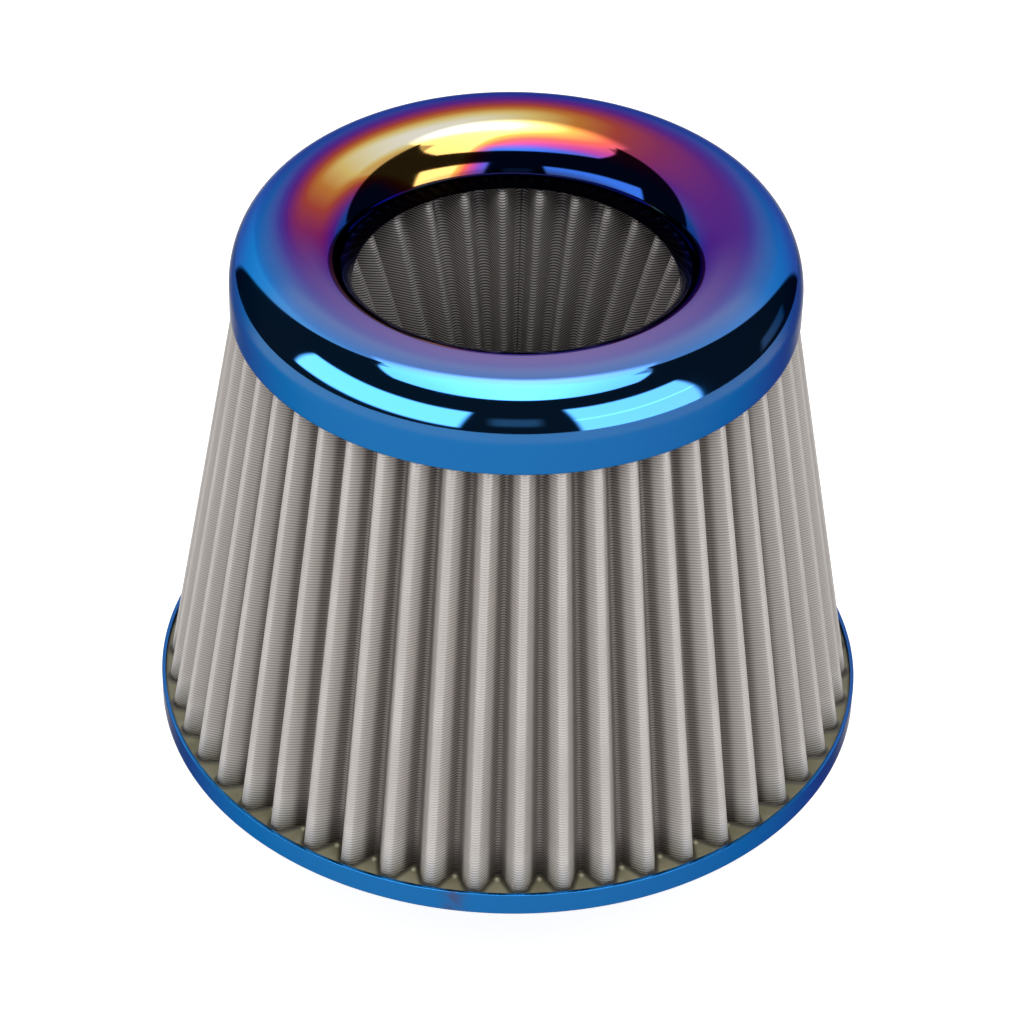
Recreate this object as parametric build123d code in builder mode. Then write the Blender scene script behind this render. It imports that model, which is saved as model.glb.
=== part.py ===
from build123d import *
from math import acos, asin, atan2, cos, hypot, pi, radians, sin
import os

# Cold air intake filter, millimetres. +Z is the axis of the filter and z = 0 is the end of the
# rubber neck, so the filter stands on its neck with the open throat of the cap on top.

# Base pan, pressed from one steel disc
base_diameter = 155.0
rim_height = 5.5
pan_sheet = 0.8

# Neck, a moulded rubber tube that goes through the pan, with a flange that lies on the pan
neck_bore = 76.0
neck_wall = 3.5
neck_length = 28.0
flange_reach = 7.0
flange_sheet = 2.0

# Top cap, spun from one steel sheet: a skirt, a rounded shoulder and a rounded fall into the throat
cap_diameter = 119.6
cap_sheet = 0.6
skirt_level = 102.7
shoulder_level = 108.3
shoulder_width = 10.0
shoulder_rise = 13.2
throat_radius = 34.1
throat_drop = 13.5
shoulder_steps = 3
throat_steps = 2

# Mesh, several layers of woven steel wire folded together
mesh_wall = 0.6
tip_steps = 3
root_steps = 2

# Outer pleats, a folded strip that tapers towards the cap, sizes at its foot
outer_fold_count = 50
outer_first_angle = 1.6
outer_depth = 5.9
outer_tip_bend = 1.35
outer_root_bend = 1.25
rim_gap = 0.9
skirt_gap = 0.3

# Inner pleats, a funnel that hangs in the throat with its small end down, sizes at its head
inner_fold_count = 26
inner_first_angle = 114.3
inner_crowd_angle = 6.0
inner_crowd_line_angle = 297.0
inner_depth = 7.2
inner_tip_bend = 2.2
inner_root_bend = 0.85
lip_gap = 0.3
funnel_level = 50.0
funnel_slope = 0.33

# Potting, cast polyurethane that seals the ends of both mesh strips
potting_below_rim = 1.5
potting_land = 8.0
cap_potting_depth = 3.0
lip_overlap = 0.2

# Cup that closes the small end of the funnel
cup_sheet = 0.8
cup_height = 5.0
cup_gap = 0.3
cup_potting = 1.6

# Seams, where the two ends of a mesh strip stand side by side under a folded clip
seam_slit = 0.1
seam_depth = 3.5
clip_sheet = 0.6
clip_gap = 0.3

base_radius = base_diameter / 2
rim_inside = base_radius - pan_sheet
rim_top = neck_length + rim_height
pan_top = neck_length + pan_sheet
neck_radius = neck_bore / 2
neck_outside = neck_radius + neck_wall
foot_level = rim_top - potting_below_rim

cap_radius = cap_diameter / 2
cap_inside = cap_radius - cap_sheet
skirt_foot = neck_length + skirt_level
shoulder_foot = neck_length + shoulder_level
crown_line = cap_radius - shoulder_width
crown_top = shoulder_foot + shoulder_rise
lip_end = crown_top - throat_drop
head_level = lip_end + lip_overlap
funnel_foot = neck_length + funnel_level

# The middle of the outer mesh runs from just inside the rim to just inside the skirt
outer_tip = rim_inside - rim_gap - mesh_wall / 2
skirt_tip = cap_inside - skirt_gap - mesh_wall / 2
outer_slope = (outer_tip - skirt_tip) / (skirt_foot - foot_level)
outer_scale = 1 - outer_slope * (head_level - foot_level) / outer_tip

# The middle of the inner mesh runs from behind the lip down to the cup
inner_crest = throat_radius + cap_sheet + lip_gap + mesh_wall / 2
inner_tip = inner_crest + inner_depth
inner_scale = 1 - funnel_slope * (head_level - funnel_foot) / inner_crest


def fold_lines(folds, first, crowd=0.0, crowd_line=0.0):
    """Angles of the fold lines, tips and roots in turn over one round, starting with a tip.

    first is measured from the front (-Y) towards +X. Every fold is shifted by up to crowd
    degrees, so that the folds stand wider apart where they face crowd_line.
    """
    lines = []
    for half_step in range(2 * folds):
        turn = first + 180 / folds * half_step
        turn += crowd * sin(radians(turn - crowd_line))
        lines.append(radians(turn - 90))
    return lines


def opened(lines, seam_kind):
    """The fold lines as one strip that starts and ends on the line nearest to the back.

    seam_kind is 0 where the strip ends on a tip line and 1 where it ends on a root line.
    """
    seam = max(range(seam_kind, len(lines), 2), key=lambda index: sin(lines[index]))
    return lines[seam:] + [line + 2 * pi for line in lines[: seam + 1]]


def turned(points, line):
    """Points given as (out along a fold line, across it), turned to that line."""
    return [
        (out * cos(line) - across * sin(line), out * sin(line) + across * cos(line))
        for out, across in points
    ]


def bend(line, centre, radius, start, end, steps):
    """Points on one bend, whose arc is centred on a fold line and measured from that line."""
    turns = [start + (end - start) * step / steps for step in range(steps + 1)]
    return turned([(centre + radius * cos(t), radius * sin(t)) for t in turns], line)


def mesh_face(lines, seam_kind, tip, depth, tip_bend, root_bend, side):
    """Points along one face of an open folded strip, from one seam flange to the other.

    tip, depth and the bends are those of the middle of the mesh. side is 1 for the face
    away from the axis and -1 for the face towards it.
    """
    offset_out = side * mesh_wall / 2
    tip_centre = tip - tip_bend
    root_centre = tip - depth + root_bend
    tip_radius = tip_bend + offset_out
    root_radius = root_bend - offset_out
    seam_side = seam_slit / 2 + (mesh_wall if (side == 1) == (seam_kind == 0) else 0)
    seam_end = tip - depth - seam_depth if seam_kind else tip + seam_depth

    def flank(gap):
        along = root_centre * cos(gap) - tip_centre
        across = root_centre * sin(gap)
        return atan2(across, along) - acos((tip_bend + root_bend) / hypot(along, across))

    points = turned([(seam_end, seam_side)], lines[0])
    last = len(lines) - 1
    for index, line in enumerate(lines):
        is_root = (index + seam_kind) % 2
        before = line - lines[index - 1] if index else lines[1] - lines[0]
        after = lines[index + 1] - line if index < last else before
        if is_root:
            start, middle, end = pi + flank(before) - before, pi, pi - flank(after) + after
            clear = -asin(min(seam_side / root_radius, 1))
        else:
            start, middle, end = -flank(before), 0, flank(after)
            clear = asin(min(seam_side / tip_radius, 1))
        start = middle + clear if index == 0 else start
        end = middle - clear if index == last else end
        if is_root:
            points += bend(line, root_centre, root_radius, start, end, root_steps)
        else:
            points += bend(line, tip_centre, tip_radius, start, end, tip_steps)
    return points + turned([(seam_end, -seam_side)], lines[-1])


def mesh_outline(lines, seam_kind, tip, depth, tip_bend, root_bend, scale=1.0):
    """Closed outline of a folded strip. scale shrinks its middle towards the axis."""
    sizes = [size * scale for size in (tip, depth, tip_bend, root_bend)]
    outside, inside = (mesh_face(lines, seam_kind, *sizes, side) for side in (1, -1))
    return outside + inside[::-1]


def clip_outline(root, reach, line):
    """A folded channel over the two flanges of a seam, open at radius root."""
    inside = seam_slit / 2 + mesh_wall
    outside = inside + clip_sheet
    close = reach + (clip_sheet if reach > root else -clip_sheet)
    return turned(
        [
            (root, outside),
            (close, outside),
            (close, -outside),
            (root, -outside),
            (root, -inside),
            (reach, -inside),
            (reach, inside),
            (root, inside),
        ],
        line,
    )


def flat_sided(solid):
    """The same solid, with each ruled side that is flat rebuilt as a true plane."""
    sides = [Face(side.outer_wire()) if side.is_planar else side for side in solid.faces()]
    return Solid(Shell(sides))


# Base pan
with BuildPart() as base_pan:
    with BuildSketch(Plane.XZ):
        with BuildLine():
            Polyline((neck_outside, neck_length), (base_radius, neck_length), (base_radius, rim_top))
            offset(amount=pan_sheet, side=Side.LEFT)
        make_face()
    revolve(axis=Axis.Z)
base_pan.part.label = "base_pan"

# Neck
with BuildPart() as neck:
    with BuildSketch(Plane.XY):
        Circle(neck_outside)
    extrude(amount=pan_top)
    with BuildSketch(Plane.XY.offset(pan_top)):
        Circle(neck_outside + flange_reach)
    extrude(amount=flange_sheet)
    Hole(neck_radius)
neck.part.label = "neck"

# Base potting
with BuildPart() as base_potting:
    with BuildSketch(Plane.XY.offset(pan_top)):
        Circle(rim_inside)
        Circle(outer_tip - outer_depth - potting_land, mode=Mode.SUBTRACT)
    extrude(amount=foot_level - pan_top)
base_potting.part.label = "base_potting"

# Outer pleats
outer_strip = opened(fold_lines(outer_fold_count, outer_first_angle), 1)
outer_sizes = (outer_tip, outer_depth, outer_tip_bend, outer_root_bend)
with BuildPart() as outer_pleats:
    for level, scale in ((foot_level, 1.0), (head_level, outer_scale)):
        with BuildSketch(Plane.XY.offset(level)):
            with BuildLine():
                Polyline(*mesh_outline(outer_strip, 1, *outer_sizes, scale), close=True)
            make_face()
    loft(ruled=True)
    add(flat_sided(outer_pleats.part.solid()), mode=Mode.REPLACE)
outer_pleats.part.label = "outer_pleats"

# Clip on the seam of the outer pleats, between the two pottings
with BuildPart() as outer_seam_clip:
    for level in (foot_level + clip_gap, head_level - clip_gap):
        root = outer_tip - outer_slope * (level - foot_level)
        root -= outer_depth * root / outer_tip
        with BuildSketch(Plane.XY.offset(level)):
            with BuildLine():
                Polyline(
                    *clip_outline(root - mesh_wall, root - seam_depth, outer_strip[0]), close=True
                )
            make_face()
    loft(ruled=True)
outer_seam_clip.part.label = "outer_seam_clip"

# Top cap, whose shoulder and throat are quarter turns of an ellipse in straight steps
shoulder_turns = [pi / 2 * step / shoulder_steps for step in range(shoulder_steps + 1)]
shoulder = [
    (cap_radius - shoulder_width * (1 - cos(turn)), shoulder_foot + shoulder_rise * sin(turn))
    for turn in shoulder_turns
]
throat_turns = [pi / 2 * step / throat_steps for step in range(1, throat_steps + 1)]
throat = [
    (crown_line - (crown_line - throat_radius) * sin(turn), crown_top - throat_drop * (1 - cos(turn)))
    for turn in throat_turns
]
cap_line = [(cap_radius, skirt_foot), *shoulder, *throat]
with BuildPart() as top_cap:
    with BuildSketch(Plane.XZ):
        with BuildLine():
            Polyline(*cap_line)
            offset(amount=cap_sheet, side=Side.LEFT, kind=Kind.INTERSECTION)
        make_face()
    revolve(axis=Axis.Z)
top_cap.part.label = "top_cap"

# Cap potting, the lower part of the cap's hollow
with BuildPart() as cap_potting:
    with BuildSketch(Plane.XZ):
        with BuildLine() as hollow:
            Polyline(*cap_line)
            offset(
                amount=cap_sheet,
                side=Side.LEFT,
                kind=Kind.INTERSECTION,
                closed=False,
                mode=Mode.REPLACE,
            )
            Line(hollow.wire() @ 1, hollow.wire() @ 0)
        make_face()
        with Locations((0, head_level)):
            Rectangle(
                cap_diameter, cap_potting_depth, align=(Align.CENTER, Align.MIN), mode=Mode.INTERSECT
            )
    revolve(axis=Axis.Z)
cap_potting.part.label = "cap_potting"

# Inner pleats
inner_lines = fold_lines(
    inner_fold_count, inner_first_angle, inner_crowd_angle, inner_crowd_line_angle
)
inner_strip = opened(inner_lines, 0)
inner_sizes = (inner_tip, inner_depth, inner_tip_bend, inner_root_bend)
with BuildPart() as inner_pleats:
    for level, scale in ((funnel_foot, inner_scale), (head_level, 1.0)):
        with BuildSketch(Plane.XY.offset(level)):
            with BuildLine():
                Polyline(*mesh_outline(inner_strip, 0, *inner_sizes, scale), close=True)
            make_face()
    loft(ruled=True)
    add(flat_sided(inner_pleats.part.solid()), mode=Mode.REPLACE)
inner_pleats.part.label = "inner_pleats"

# Cup under the funnel, wide enough for the seam of the funnel at the height of its rim
cup_rim = funnel_foot + cup_height
tip_at_rim = inner_tip * (1 - funnel_slope * (head_level - cup_rim) / inner_crest)
cup_inside = tip_at_rim + seam_depth + clip_sheet + cup_gap
cup_floor = funnel_foot - cup_potting
with BuildPart() as funnel_cup:
    with BuildSketch(Plane.XY.offset(cup_floor - cup_sheet)):
        Circle(cup_inside + cup_sheet)
    extrude(amount=cup_rim - cup_floor + cup_sheet)
    with BuildSketch(Plane.XY.offset(cup_floor)):
        Circle(cup_inside)
    extrude(amount=cup_rim - cup_floor, mode=Mode.SUBTRACT)
funnel_cup.part.label = "funnel_cup"

# Potting in the cup
with BuildPart() as funnel_potting:
    with BuildSketch(Plane.XY.offset(cup_floor)):
        Circle(cup_inside)
    extrude(amount=cup_potting)
funnel_potting.part.label = "funnel_potting"

# Clip on the seam of the inner pleats, between its two pottings
with BuildPart() as inner_seam_clip:
    for level in (funnel_foot + clip_gap, head_level - clip_gap):
        tip = inner_tip * (1 - funnel_slope * (head_level - level) / inner_crest)
        with BuildSketch(Plane.XY.offset(level)):
            with BuildLine():
                Polyline(
                    *clip_outline(tip + mesh_wall, tip + seam_depth, inner_strip[0]), close=True
                )
            make_face()
    loft(ruled=True)
inner_seam_clip.part.label = "inner_seam_clip"

os.makedirs("parts", exist_ok=True)
export_step(base_pan.part, "parts/base_pan.step")
export_step(neck.part, "parts/neck.step")
export_step(base_potting.part, "parts/base_potting.step")
export_step(outer_pleats.part, "parts/outer_pleats.step")
export_step(outer_seam_clip.part, "parts/outer_seam_clip.step")
export_step(top_cap.part, "parts/top_cap.step")
export_step(cap_potting.part, "parts/cap_potting.step")
export_step(inner_pleats.part, "parts/inner_pleats.step")
export_step(funnel_cup.part, "parts/funnel_cup.step")
export_step(funnel_potting.part, "parts/funnel_potting.step")
export_step(inner_seam_clip.part, "parts/inner_seam_clip.step")
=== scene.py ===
"""Looks of a loose cold air intake filter: heat tinted steel cap and pan, folded steel wire mesh,
cast potting and a rubber neck. Lengths inside the classes are millimetres in the frame of the
CAD model: z is 0 at the free end of the neck, +Z is the axis, and the viewer stands at -Y.
"""

import logging
import math
from dataclasses import dataclass, field
from enum import Enum

import bpy
import numpy as np
from mathutils import Matrix, Vector
from mathutils.kdtree import KDTree


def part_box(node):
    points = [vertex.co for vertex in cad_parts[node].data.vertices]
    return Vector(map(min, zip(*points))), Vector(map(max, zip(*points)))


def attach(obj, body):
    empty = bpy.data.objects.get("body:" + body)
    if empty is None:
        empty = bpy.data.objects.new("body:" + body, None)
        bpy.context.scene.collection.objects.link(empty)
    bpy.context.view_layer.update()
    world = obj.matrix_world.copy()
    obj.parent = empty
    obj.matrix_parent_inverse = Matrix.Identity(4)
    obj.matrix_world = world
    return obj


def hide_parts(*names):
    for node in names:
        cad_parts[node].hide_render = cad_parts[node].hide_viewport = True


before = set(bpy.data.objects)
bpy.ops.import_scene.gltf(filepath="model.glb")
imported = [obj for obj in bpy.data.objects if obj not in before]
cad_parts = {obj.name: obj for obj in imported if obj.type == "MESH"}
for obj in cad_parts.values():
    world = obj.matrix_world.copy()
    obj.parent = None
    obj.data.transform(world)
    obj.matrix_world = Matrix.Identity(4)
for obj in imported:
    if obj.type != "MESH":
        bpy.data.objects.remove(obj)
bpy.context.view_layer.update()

MM = 0.001
BODY = "root"
DISPLAY_TOP = 255
log = logging.getLogger("intake_filter")

Colour = tuple[int, int, int]
Span = tuple[float, float]
Spot = tuple[float, float]
Outline = list[Spot]
Socket = bpy.types.NodeSocket


class Slot(str, Enum):
    """Material slots of the record."""

    TINTED_STEEL = "tinted_steel"
    NECK_RUBBER = "neck_rubber"
    POTTING = "potting"
    STEEL_MESH = "steel_mesh"
    PLAIN_STEEL = "plain_steel"


class Seam(Enum):
    """The fold line on which a mesh strip begins and ends."""

    TIP = 0
    ROOT = 1


def linear(red: int, green: int, blue: int) -> tuple[float, float, float, float]:
    """A display colour of 0 to 255 per channel as linear RGBA.

    Args:
        red: Red as displayed.
        green: Green as displayed.
        blue: Blue as displayed.

    Returns:
        The colour in scene linear values, with an alpha of 1.
    """
    values = []
    for channel in (red, green, blue):
        share = channel / DISPLAY_TOP
        values.append(share / 12.92 if share <= 0.04045 else ((share + 0.055) / 1.055) ** 2.4)
    return (values[0], values[1], values[2], 1.0)


def darker(colour: Colour, by: int) -> Colour:
    """The same colour with every channel lower by a number."""
    return (colour[0] - by, colour[1] - by, colour[2] - by)


def node_levels(node: str) -> tuple[float, float]:
    """Lowest and highest level of a CAD node.

    Args:
        node: The node's name.

    Returns:
        Its lowest and highest z in millimetres.
    """
    low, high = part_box(node)
    return low[2] / MM, high[2] / MM


def node_radius(node: str) -> float:
    """Outside radius of a CAD node that is round about the axis, in millimetres."""
    low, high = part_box(node)
    return (high[0] - low[0]) / 2 / MM


class NodeSheet:
    """A node tree with short ways to add and link nodes."""

    def __init__(self, tree: bpy.types.NodeTree) -> None:
        """Keeps the tree that the nodes go into."""
        self.tree = tree

    def node(self, kind: str, **settings: object) -> bpy.types.Node:
        """Adds a node and sets its properties.

        Args:
            kind: The node's type, such as ShaderNodeMath.
            **settings: Properties of the node by name.

        Returns:
            The new node.
        """
        made = self.tree.nodes.new(kind)
        for name, value in settings.items():
            setattr(made, name, value)
        return made

    def put(self, value: object, socket: Socket) -> None:
        """Links an output to a socket, or sets the socket to a plain value."""
        if isinstance(value, Socket):
            self.tree.links.new(value, socket)
        else:
            socket.default_value = value

    def fill(self, inputs: bpy.types.NodeInputs, **values: object) -> None:
        """Puts outputs or plain values into a node's inputs, named with _ for a space."""
        for name, value in values.items():
            self.put(value, inputs[name.replace("_", " ")])

    def math(self, operation: str, *values: object, clamp: bool = False) -> Socket:
        """Adds a Math node.

        Args:
            operation: The operation, such as MULTIPLY.
            *values: Outputs or numbers for its inputs.
            clamp: True keeps the result between 0 and 1.

        Returns:
            The node's output.
        """
        made = self.node("ShaderNodeMath", operation=operation, use_clamp=clamp)
        for index, value in enumerate(values):
            self.put(value, made.inputs[index])
        return made.outputs[0]

    def product(self, first: object, *others: object) -> Socket:
        """The product of outputs and numbers."""
        result = first
        for value in others:
            result = self.math("MULTIPLY", result, value)
        return result

    def ramp(
        self, value: object, low: float, high: float, start: float = 0.0, end: float = 1.0
    ) -> Socket:
        """A smooth step of value from low to high.

        Args:
            value: The output to read.
            low: Where the step begins.
            high: Where the step ends.
            start: The result at low.
            end: The result at high.

        Returns:
            The stepped value.
        """
        made = self.node("ShaderNodeMapRange", interpolation_type="SMOOTHSTEP")
        self.fill(made.inputs, Value=value, From_Min=low, From_Max=high, To_Min=start, To_Max=end)
        return made.outputs["Result"]

    def band(self, value: object, low: float, high: float, soft: float) -> Socket:
        """A smooth step up at low and down again at high.

        Args:
            value: The output to read.
            low: Middle of the step up.
            high: Middle of the step down.
            soft: Half the width of each step.

        Returns:
            1 between the steps and 0 outside them.
        """
        rise = self.ramp(value, low - soft, low + soft)
        return self.product(rise, self.ramp(value, high - soft, high + soft, 1.0, 0.0))

    def bell(self, value: object, width: float) -> Socket:
        """A bell curve of value: 1 at 0, and down to 0.37 at width on either side."""
        square = self.math("POWER", self.math("ABSOLUTE", self.math("DIVIDE", value, width)), 2.0)
        return self.math("EXPONENT", self.product(square, -1.0))

    def mix(self, share: object, first: object, second: object) -> Socket:
        """Mixes two colours.

        Args:
            share: The second colour's share, from 0 to 1.
            first: An output or a display colour.
            second: An output or a display colour.

        Returns:
            The mixed colour.
        """
        made = self.node("ShaderNodeMix", data_type="RGBA")
        ends = [linear(*colour) if isinstance(colour, tuple) else colour for colour in (first, second)]
        self.fill(made.inputs, Factor=share, A=ends[0], B=ends[1])
        return made.outputs["Result"]

    def colours(self, value: object, stops: tuple[tuple[float, Colour], ...]) -> Socket:
        """A colour ramp.

        Args:
            value: The output to read.
            stops: Places from 0 to 1 with display colours.

        Returns:
            The ramp's colour.
        """
        made = self.node("ShaderNodeValToRGB")
        elements = made.color_ramp.elements
        while len(elements) < len(stops):
            elements.new(0.5)
        for element, (place, colour) in zip(elements, stops):
            element.position = place
            element.color = linear(*colour)
        self.put(value, made.inputs["Fac"])
        return made.outputs["Color"]

    def attribute(self, name: str) -> Socket:
        """A value that the mesh carries at its points."""
        return self.node("ShaderNodeAttribute", attribute_name=name).outputs["Fac"]

    def object_point(self) -> Socket:
        """The shaded point in the piece's own frame, in metres."""
        return self.node("ShaderNodeTexCoord").outputs["Object"]

    def coordinate(self, axis: str) -> Socket:
        """The shaded point's X, Y or Z in the piece's own frame, in millimetres."""
        point = self.node("ShaderNodeSeparateXYZ")
        self.put(self.object_point(), point.inputs[0])
        return self.math("DIVIDE", point.outputs[axis], MM)

    def noise(
        self, scale: float, detail: float, stretch: tuple[float, float, float] = (1, 1, 1)
    ) -> Socket:
        """Noise over the piece.

        Args:
            scale: Cells per metre.
            detail: Octaves of finer noise.
            stretch: How much finer the noise is along each axis.

        Returns:
            A value around 0.5.
        """
        placed = self.node("ShaderNodeMapping")
        self.fill(placed.inputs, Vector=self.object_point(), Scale=stretch)
        made = self.node("ShaderNodeTexNoise")
        self.fill(made.inputs, Vector=placed.outputs[0], Scale=scale, Detail=detail)
        return made.outputs["Fac"]


class EffectGroup(NodeSheet):
    """A shader node group with named inputs and outputs, built once and placed in materials."""

    def __init__(self, name: str, inputs: dict[str, float], outputs: dict[str, str]) -> None:
        """Makes the group and its sockets.

        Args:
            name: The group's name.
            inputs: Float inputs with their defaults.
            outputs: Outputs with their socket types.
        """
        super().__init__(bpy.data.node_groups.new(name, "ShaderNodeTree"))
        for label, default in inputs.items():
            socket = self.tree.interface.new_socket(label, in_out="INPUT", socket_type="NodeSocketFloat")
            socket.default_value = default
        for label, kind in outputs.items():
            self.tree.interface.new_socket(label, in_out="OUTPUT", socket_type=kind)
        self.entry = self.node("NodeGroupInput").outputs
        self.exit = self.node("NodeGroupOutput").inputs

    def place(self, sheet: NodeSheet, **values: object) -> bpy.types.NodeOutputs:
        """Places the group in a material.

        Args:
            sheet: The material's nodes.
            **values: Outputs or numbers for the inputs, with _ for a space.

        Returns:
            The outputs of the placed group.
        """
        placed = sheet.node("ShaderNodeGroup", node_tree=self.tree)
        sheet.fill(placed.inputs, **values)
        return placed.outputs


@dataclass(frozen=True)
class HeatTint:
    """The colours of steel that was tinted by heat, hottest at one place on the throat.

    The oxide film grows away from a hot ridge on the crown: round the axis by the angle from
    the hot place, outward from the ridge, and down into the throat. The three are joined by a
    smooth maximum, and the colour follows the film. Low in the throat the steel is painted near
    black, a painted reflection of the dark inside that it mirrors. Radii and levels are in
    millimetres. Turns are in degrees about the axis, from the front towards the right.
    """

    hot_angle: float = -153.0
    around_width: float = 59.0
    around_film: float = 0.53
    ridge: float = 43.3
    outward: float = 11.5
    throat_ridge: float = 41.9
    inward: float = 9.0
    drift_cells: float = 26.0
    drift: float = 1.4
    tongue_turn: float = 4.0
    tongue_width: float = 17.0
    tongue_reach: float = 6.0
    shade_turn: float = 35.0
    shade_depth: float = 0.06
    straw_span: Span = (42.0, 40.0)
    straw_film: float = 0.155
    pale_around: float = 1.4
    pale_across: float = 1.5
    blued_turns: Span = (15.0, 25.0)
    blued_span: Span = (38.4, 37.2)
    blued_share: float = 0.97
    dark_throat_reflection_span: Span = (35.5, 34.6)
    dark_throat_reflection_share: float = 0.94
    rim_span: Span = (76.0, 77.0)
    scorch_turn: float = -8.6
    scorch_width: float = 1.5
    scorch_cells: float = 420.0
    scorch_cell_span: Span = (0.35, 0.6)
    scorch_shares: Span = (0.2, 0.6)
    rim_side_turns: Span = (55.0, 80.0)
    rim_side_share: float = 0.5
    lacquer_levels: Span = (137.5, 139.5)
    lacquer_span: Span = (48.0, 52.0)
    lacquer_front: Span = (0.3, 0.6)
    lacquer_least: float = 0.1
    film_colours: tuple[tuple[float, Colour], ...] = (
        (0.00, (219, 214, 200)),
        (0.05, (212, 203, 165)),
        (0.12, (205, 178, 104)),
        (0.20, (180, 112, 46)),
        (0.28, (156, 60, 50)),
        (0.36, (126, 42, 92)),
        (0.45, (86, 36, 126)),
        (0.53, (68, 54, 142)),
        (0.63, (64, 82, 158)),
        (0.74, (52, 97, 168)),
        (0.86, (42, 104, 178)),
        (0.94, (30, 112, 192)),
        (1.00, (38, 134, 212)),
    )
    pale_colour: Colour = (164, 148, 192)
    blued_colour: Colour = (20, 62, 134)
    dark_throat_reflection_colour: Colour = (16, 16, 26)
    scorch_colour: Colour = (100, 78, 100)
    rim_side_colour: Colour = (44, 46, 104)

    def build(self) -> EffectGroup:
        """Builds the effect.

        Returns:
            A group that puts out Color and Lacquer, the weight of the thin clear coat.
        """
        outputs = {"Color": "NodeSocketColor", "Lacquer": "NodeSocketFloat"}
        group = EffectGroup("Heat tint", {"Hot Angle": self.hot_angle}, outputs)
        across, along = group.coordinate("X"), group.coordinate("Y")
        squares = [group.math("POWER", value, 2.0) for value in (across, along)]
        reach = group.math("SQRT", group.math("ADD", *squares))
        turn = group.math("DEGREES", group.math("ARCTAN2", across, group.product(along, -1.0)))
        from_hot = group.math("SUBTRACT", turn, group.entry["Hot Angle"])
        off_hot = group.math("WRAP", from_hot, 180.0, -180.0)
        off_tongue = group.math("SUBTRACT", off_hot, self.tongue_turn)
        waves = group.noise(self.drift_cells, detail=2.0)
        drift = group.product(group.math("SUBTRACT", waves, 0.5), self.drift)
        uneven = group.math("ADD", reach, drift)
        outer = group.math("DIVIDE", group.math("SUBTRACT", uneven, self.ridge), self.outward, clamp=True)
        film = self.film(group, turn, off_hot, off_tongue, uneven, outer)
        film = group.math("MAXIMUM", film, group.ramp(reach, *self.straw_span, 0.0, self.straw_film))
        tint = group.colours(film, self.film_colours)
        front = group.math("MAXIMUM", group.math("COSINE", group.math("RADIANS", turn)), 0.0)
        inside = group.math("POWER", group.math("SUBTRACT", 1.0, outer), self.pale_across)
        pale = group.product(group.math("POWER", front, self.pale_around), inside)
        tint = group.mix(pale, tint, self.pale_colour)
        away = group.ramp(group.math("ABSOLUTE", off_tongue), *self.blued_turns)
        blued = group.product(group.ramp(reach, *self.blued_span, 0.0, self.blued_share), away)
        tint = group.mix(blued, tint, self.blued_colour)
        # Painted reflection: low in the throat the steel is painted near black for the dark inside it
        # mirrors.
        dark_throat_reflection = group.ramp(reach, *self.dark_throat_reflection_span, 0.0, self.dark_throat_reflection_share)
        tint = group.mix(dark_throat_reflection, tint, self.dark_throat_reflection_colour)
        group.put(self.rim_marks(group, turn, reach, tint), group.exit["Color"])
        raised = group.ramp(group.coordinate("Z"), *self.lacquer_levels)
        shoulder = group.ramp(reach, *self.lacquer_span)
        lacquer = group.product(raised, shoulder, group.ramp(front, *self.lacquer_front))
        group.put(group.ramp(lacquer, 0.0, 1.0, self.lacquer_least, 1.0), group.exit["Lacquer"])
        return group

    def film(
        self,
        group: EffectGroup,
        turn: Socket,
        off_hot: Socket,
        off_tongue: Socket,
        uneven: Socket,
        outer: Socket,
    ) -> Socket:
        """Thickness of the oxide film.

        Args:
            group: The effect's nodes.
            turn: Turn about the axis.
            off_hot: Turn from the hot place.
            off_tongue: Turn from the bare tongue that runs down the throat.
            uneven: Radius with a slow drift.
            outer: The film's growth outward from the ridge.

        Returns:
            The thickness from 0 to 1.
        """
        cooler = group.math("SUBTRACT", 1.0, group.bell(off_hot, self.around_width))
        around = group.product(cooler, self.around_film)
        tongue = group.product(group.bell(off_tongue, self.tongue_width), self.tongue_reach)
        throat_line = group.math("SUBTRACT", self.throat_ridge, tongue)
        inner = group.math("DIVIDE", group.math("SUBTRACT", throat_line, uneven), self.inward, clamp=True)
        cubes = [group.math("POWER", value, 3.0) for value in (around, outer, inner)]
        total = group.math("ADD", group.math("ADD", cubes[0], cubes[1]), cubes[2])
        joined = group.math("MINIMUM", group.math("POWER", total, 1 / 3), 1.0)
        from_shade = group.math("RADIANS", group.math("ADD", turn, self.shade_turn))
        shade = group.product(group.math("COSINE", from_shade), self.shade_depth)
        return group.product(joined, group.math("ADD", shade, 1.0 - self.shade_depth))

    def rim_marks(self, group: EffectGroup, turn: Socket, reach: Socket, tint: Socket) -> Socket:
        """Adds the scorch mark at the front of the pan's rim and the darker tint at its sides.

        Args:
            group: The effect's nodes.
            turn: Turn about the axis.
            reach: Radius.
            tint: The tint so far.

        Returns:
            The tint with the marks.
        """
        rim = group.ramp(reach, *self.rim_span)
        mark = group.bell(group.math("SUBTRACT", turn, self.scorch_turn), self.scorch_width)
        cells = group.noise(self.scorch_cells, detail=3.0)
        patchy = group.ramp(cells, *self.scorch_cell_span, *self.scorch_shares)
        tint = group.mix(group.product(mark, rim, patchy), tint, self.scorch_colour)
        beside = group.ramp(group.math("ABSOLUTE", turn), *self.rim_side_turns, 0.0, self.rim_side_share)
        return group.mix(group.product(beside, rim), tint, self.rim_side_colour)


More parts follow.
